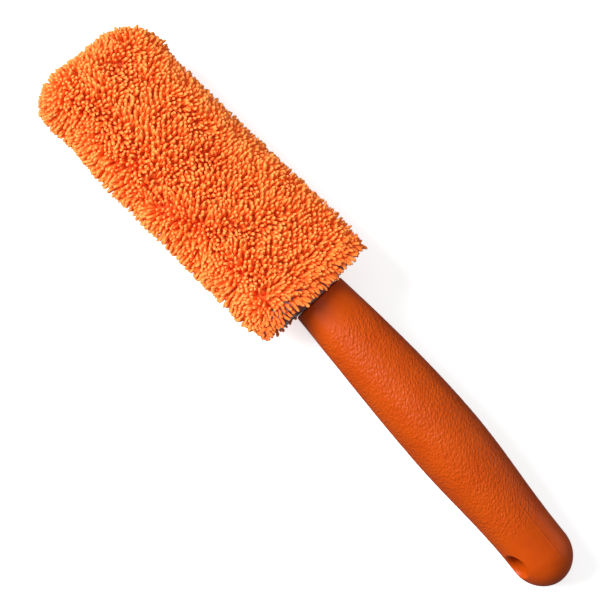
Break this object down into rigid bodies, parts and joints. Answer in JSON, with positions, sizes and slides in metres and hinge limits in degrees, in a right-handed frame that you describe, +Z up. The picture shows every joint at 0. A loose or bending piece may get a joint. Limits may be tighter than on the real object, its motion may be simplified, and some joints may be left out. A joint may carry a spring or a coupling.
{
  "type": "wheel brush",
  "caption": "Hand wheel brush: a flat padded head in a removable looped microfibre cover, on a drooping moulded grip with a hanging hole.",
  "frame": {"origin": "on the surface that the brush lies on, under the middle of its box", "axes": "+X from the head's tip to the handle's butt, +Y across the head, +Z up, out of the head's front face"},
  "size_m": [0.35, 0.071, 0.0488],
  "materials": {
    "orange_loop_pile": "looped microfibre pile, matt, with paler tips",
    "grey_binding": "woven tape, matt",
    "white_elastic": "braided elastic, matt",
    "orange_seam_tape": "woven tape, matt",
    "cream_foam": "open-cell foam, matt",
    "amber_adhesive": "tacky film, satin",
    "grey_edge_guard": "soft rubber, matt",
    "black_blade_plastic": "satin moulded plastic",
    "mauve_brown_plastic": "satin moulded plastic",
    "orange_gloss_plastic": "glossy moulded plastic with a leather grain over the grip",
    "natural_core_plastic": "unpainted moulded plastic",
    "steel_rivet": "plain steel"
  },
  "bodies": {
    "handle": {"grip_skin": "orange_gloss_plastic", "core_upper": "natural_core_plastic", "core_lower": "natural_core_plastic", "tang_rivet_front": "steel_rivet", "tang_rivet_rear": "steel_rivet", "core_rivet_middle": "steel_rivet", "core_rivet_butt": "steel_rivet", "shoulder_collar": "mauve_brown_plastic", "paddle_blade": "black_blade_plastic", "edge_guard": "grey_edge_guard", "adhesive_front": "amber_adhesive", "adhesive_back": "amber_adhesive", "foam_front": "cream_foam", "foam_back": "cream_foam"},
    "cover": {"cover_front_panel": "orange_loop_pile", "cover_back_panel": "orange_loop_pile", "seam_tape": "orange_seam_tape", "hem_binding": "grey_binding", "hem_elastic": "white_elastic"}
  },
  "joints": [
    {"name": "cover_pull_off", "type": "slide", "parent": "handle", "child": "cover", "axis": [-0.9971, 0, -0.0761], "range_m": [0, 0.155]}
  ]
}
